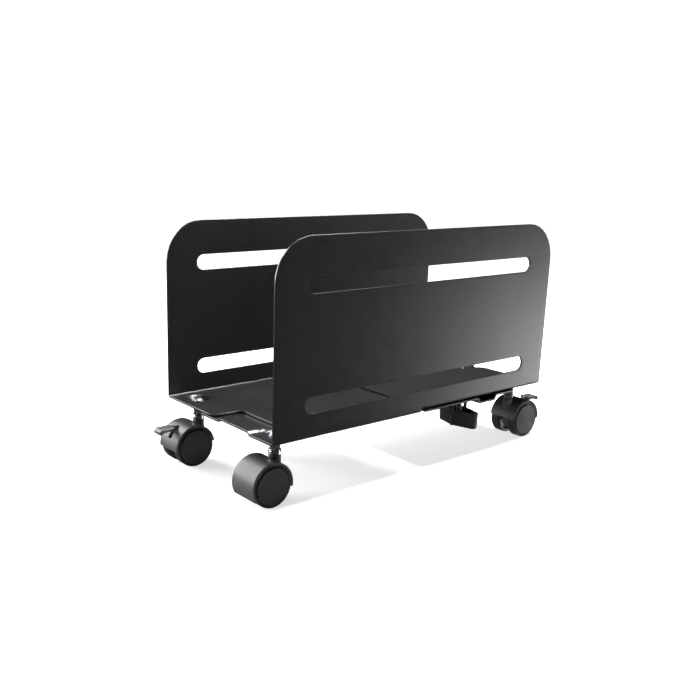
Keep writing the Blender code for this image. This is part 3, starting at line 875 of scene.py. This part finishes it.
def knob_mesh():
    """Two-winged hand knob: hollow above, slightly tapered, with tall grip ribs at the waist."""
    base, top, rib_top = 0.0214, 0.0388, 0.0460
    middle = (top + base) / 2
    wall, floor_thickness, taper = 0.0018, 0.002, 0.035

    def lift(z):
        return Matrix.Translation((0, 0, z))

    body = prism(knob_ring(0, 0.0026, 0.004, 6), top - base, 0.0005, lift(middle), 3)
    hollow = prism(
        knob_ring(wall, 0.0010, 0.0022, 5), top - base, 0, lift(middle + floor_thickness))
    body = bevelled(boolean(body, hollow), 0.0003, 2, 50)
    web_half, web_thick = 0.0215, 0.0006
    web = prism([
        (-web_half, -web_thick), (web_half, -web_thick),
        (web_half, web_thick), (-web_half, web_thick),
    ], 0.0110, 0, lift(base + 0.0070))
    boss = lathe(rounded([
        (0.0033, base + 0.0012, 0), (0.0056, base + 0.0012, 0),
        (0.0055, top - 0.0015, 0.0004), (0.0033, top - 0.0015, 0.0002),
    ], 3), 40)
    ribs = []
    for side in (1, -1):
        outline = rounded([
            (-0.0017, 0.0088 * side, 0), (0.0017, 0.0088 * side, 0),
            (0.0015, 0.0117 * side, 0.0006), (-0.0015, 0.0117 * side, 0.0006),
        ], 4)
        ribs.append(prism(outline, rib_top - base, 0.0004, lift((rib_top + base) / 2), 3))
    knob = merge(body, web, boss, *ribs)
    for vertex in knob.vertices:
        lean = 1 - taper * max(0.0, (top - vertex.co.z) / (top - base))
        vertex.co.x *= lean
        vertex.co.y *= lean
    return knob


def clamp_screw_mesh():
    """Plated stud with thread ridges and a chamfered tip."""
    base, length, turns = 0.0269, 0.0337, 33
    root, crest = 0.00265, 0.0030
    thread = [(0.0005, 0.0267)]
    for k in range(turns):
        z = base + length * k / turns
        thread += [(root, z), (crest, z + 0.0005)]
    thread += [(0.0026, 0.0609), (0.0022, 0.0612), (0.0005, 0.0612)]
    return lathe(thread, 40)


def clamp_nut_mesh():
    """Hexagonal nut with turned chamfers, in the channel."""
    base, tall, flats = 0.0565, 0.0040, 0.0100
    hexagon = arc((0, 0), flats / math.sqrt(3), 0, 300, 5)
    blank = prism(hexagon, tall, 0, Matrix.Translation((0, 0, base + tall / 2)))
    chamfer = lathe([
        (0.0005, base - 0.001), (0.0050, base - 0.001), (0.0062, base + 0.0005),
        (0.0062, base + tall - 0.0005), (0.0050, base + tall + 0.0001),
        (0.0005, base + tall + 0.0001),
    ], 48)
    return bevelled(boolean(blank, chamfer, "INTERSECT"), 0.00015, 1, 40)


# ----------------------------------------------------------------- assembly

HALF_TURN = Matrix.Rotation(math.pi, 4, "Z")
for side, turn in (("left", Matrix.Identity(4)), ("right", HALF_TURN)):
    piece(f"{side}_sheet", bracket_mesh(turn), STEEL, f"{side}_side",
          [f"{side}_bracket"], 50)


def caster(corner, x, y):
    """One caster, its wheels turned away from the middle of the stand."""
    put = Matrix.Translation((x, y, 0)) @ (Matrix.Identity(4) if y > 0 else HALF_TURN)
    braked = corner in BRAKED
    carrier = "left_side" if x < 0 else "right_side"

    def part(name, mesh, surface, body, slot, node, sharp):
        mesh.transform(put)
        piece(f"{corner}_{name}", mesh, surface, body, [f"{corner}_{node}"], sharp)

    part("cover", hood_mesh(braked), HOOD, f"{corner}_caster", "hood_plastic", "hood", 40)
    part("post", stem_mesh(), ZINC, carrier, "zinc_plated_steel", "stem", 30)
    part("sleeve", sleeve_mesh(), HOOD, carrier, "hood_plastic", "spacer", 30)
    part("dome_nut", dome_nut_mesh(), NUT_ZINC, carrier, "zinc_plated_steel", "nut", 30)
    for side in (1, -1):
        # On a turned caster the wheel drawn on the right ends up on the left
        name = "right" if (side > 0) == (y > 0) else "left"
        roller = f"{corner}_{name}_roller"
        part(f"{name}_tyre", wheel_mesh(side), TREAD, roller, "wheel_plastic",
             f"{name}_wheel", 35)
        part(f"{name}_disc", cap_mesh(side), CAP, roller, "cap_plastic", f"{name}_cap", 35)
    if braked:
        part("foot_brake", lever_mesh(), HOOD, f"{corner}_brake", "hood_plastic",
             "brake_lever", 40)


for corner, (x, y) in CASTERS.items():
    caster(corner, x, y)

for end, carrier, x, y in (
    ("rear", "left_side", CLAMP_X, CHANNEL_Y),
    ("front", "right_side", -CLAMP_X, -CHANNEL_Y),
):
    put = Matrix.Translation((x, y, 0))
    for name, mesh, surface, slot_name, node, body in (
        ("wing_knob", knob_mesh(), KNOB, "knob_plastic", "clamp_knob", f"{end}_clamp"),
        ("threaded_stud", clamp_screw_mesh(), ZINC, "zinc_plated_steel", "clamp_screw",
         f"{end}_clamp"),
        ("hex_nut", clamp_nut_mesh(), NUT_ZINC, "zinc_plated_steel", "clamp_nut", carrier),
    ):
        mesh.transform(put)
        piece(f"{end}_{name}", mesh, surface, body, [f"{end}_{node}"], 35)

# The axles and brake pins are shown as the CAD has them, plated
for name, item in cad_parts.items():
    if name.endswith(("_axle", "_brake_pin")):
        for index in range(len(item.material_slots)):
            item.material_slots[index].material = ZINC


# -------------------------------------------------------- stage and lights

FLOOR_REACH = 40.0
FLOOR_GLOW = (0.66, 1.02)
FLOOR_GLOW_SPAN = (0.25, 1.1)
BACKDROP_R = 70.0
BACKDROP_GLOW = 1.05
GLOW_TOWARDS = (0.4555, 0.8567, -0.2419)
GLOW_SPAN = (0.975, 1.045)
ROOM_DIM = 0.04
ROOM_BRIGHT = 50.0

# The floor glows a little, more so farther out, and isn't mirrored in the object
floor_mesh = bpy.data.meshes.new("floor")
floor_mesh.from_pydata([
    (-FLOOR_REACH, -FLOOR_REACH, 0), (FLOOR_REACH, -FLOOR_REACH, 0),
    (FLOOR_REACH, FLOOR_REACH, 0), (-FLOOR_REACH, FLOOR_REACH, 0),
], [], [(0, 1, 2, 3)])
floor = bpy.data.objects.new("floor", floor_mesh)
bpy.context.scene.collection.objects.link(floor)
pale = Surface("pale_floor", (0.85, 0.85, 0.85), 0.9)
pale.vary_color(pale.noise(3.0, 2.0), (0.845, 0.845, 0.845), (0.855, 0.855, 0.855))
pale.shader.inputs["Specular IOR Level"].default_value = 0.1
pale.shader.inputs["Emission Color"].default_value = (1.0, 1.0, 1.0, 1.0)
away = pale.node("ShaderNodeVectorMath", operation="LENGTH")
pale.link(pale.coords, away.inputs[0])
glow = pale.span(away.outputs["Value"], *FLOOR_GLOW_SPAN, *FLOOR_GLOW)
pale.link(glow, pale.shader.inputs["Emission Strength"])
floor_mesh.materials.append(pale.material)
floor.visible_glossy = False

# A white ball round everything, seen by the camera alone
shape = bmesh.new()
bmesh.ops.create_icosphere(shape, subdivisions=4, radius=BACKDROP_R)
dome_mesh = bpy.data.meshes.new("backdrop")
shape.to_mesh(dome_mesh)
shape.free()
dome = bpy.data.objects.new("backdrop", dome_mesh)
bpy.context.scene.collection.objects.link(dome)
white = Surface("white_backdrop", (0.0, 0.0, 0.0), 1.0)
white.shader.inputs["Emission Color"].default_value = (1.0, 1.0, 1.0, 1.0)
white.shader.inputs["Emission Strength"].default_value = BACKDROP_GLOW
dome_mesh.materials.append(white.material)
dome.visible_diffuse = False
dome.visible_glossy = False
dome.visible_transmission = False
dome.visible_shadow = False

# The room: dark all round, with one bright patch low on the rear right that the near side
# mirrors in the main view
world = bpy.data.worlds.new("studio")
bpy.context.scene.world = world
world.use_nodes = True
tree = world.node_tree
back = tree.nodes["Background"]
where = tree.nodes.new("ShaderNodeTexCoord")
facing = tree.nodes.new("ShaderNodeVectorMath")
facing.operation = "DOT_PRODUCT"
facing.inputs[1].default_value = GLOW_TOWARDS
tree.links.new(where.outputs["Generated"], facing.inputs[0])
ramp = tree.nodes.new("ShaderNodeMapRange")
ramp.interpolation_type = "SMOOTHSTEP"
ramp.inputs["From Min"].default_value = GLOW_SPAN[0]
ramp.inputs["From Max"].default_value = GLOW_SPAN[1]
ramp.inputs["To Min"].default_value = ROOM_DIM
ramp.inputs["To Max"].default_value = ROOM_BRIGHT
tree.links.new(facing.outputs["Value"], ramp.inputs["Value"])
tree.links.new(ramp.outputs["Result"], back.inputs["Strength"])
back.inputs["Color"].default_value = (1.0, 1.0, 1.0, 1.0)


def softbox(name, location, target, size, power):
    """Rectangular soft light aimed at a point."""
    data = bpy.data.lights.new(name, "AREA")
    data.shape = "RECTANGLE"
    data.size = size[0]
    data.size_y = size[1]
    data.energy = power
    item = bpy.data.objects.new(name, data)
    bpy.context.scene.collection.objects.link(item)
    item.location = location
    aim = Vector(target) - Vector(location)
    item.rotation_euler = aim.to_track_quat("-Z", "Y").to_euler()


softbox("rear_right_box", (1.6, 1.5, 0.9), (0.05, 0.05, 0.10), (1.2, 1.4), 3)
softbox("front_left_box", (-1.3, -1.15, 0.55), (0.0, 0.0, 0.04), (1.7, 0.8), 50)
softbox("edge_box", (-1.5, -0.45, 1.15), (0.0, 0.0, 0.10), (0.6, 0.6), 26)
softbox("bay_box", (0.05, 0.14, 0.78), (0.0, 0.02, 0.0), (0.07, 0.50), 20)

# The camera's lens, shift, axes and place come from a fit
camera_data = bpy.data.cameras.new("camera")
camera = bpy.data.objects.new("camera", camera_data)
bpy.context.scene.collection.objects.link(camera)
bpy.context.scene.camera = camera
camera_data.sensor_width = 36.0
camera_data.lens = 44.26805
camera_data.shift_x = 0.0714286
camera_data.shift_y = 0.0314286
camera_data.clip_start = 0.01
camera_data.clip_end = 200.0
camera_right = Vector((0.61953122, 0.78465688, 0.02224062))
camera_down = Vector((0.20584072, -0.13505096, -0.96922177))
camera_forward = Vector((-0.75750291, 0.60504117, -0.24518263))
axes = Matrix((camera_right, -camera_down, -camera_forward)).transposed()
camera.matrix_world = Matrix.Translation((0.63281219, -0.58887586, 0.29717958)) @ axes.to_4x4()

bpy.context.scene.view_settings.view_transform = "Standard"
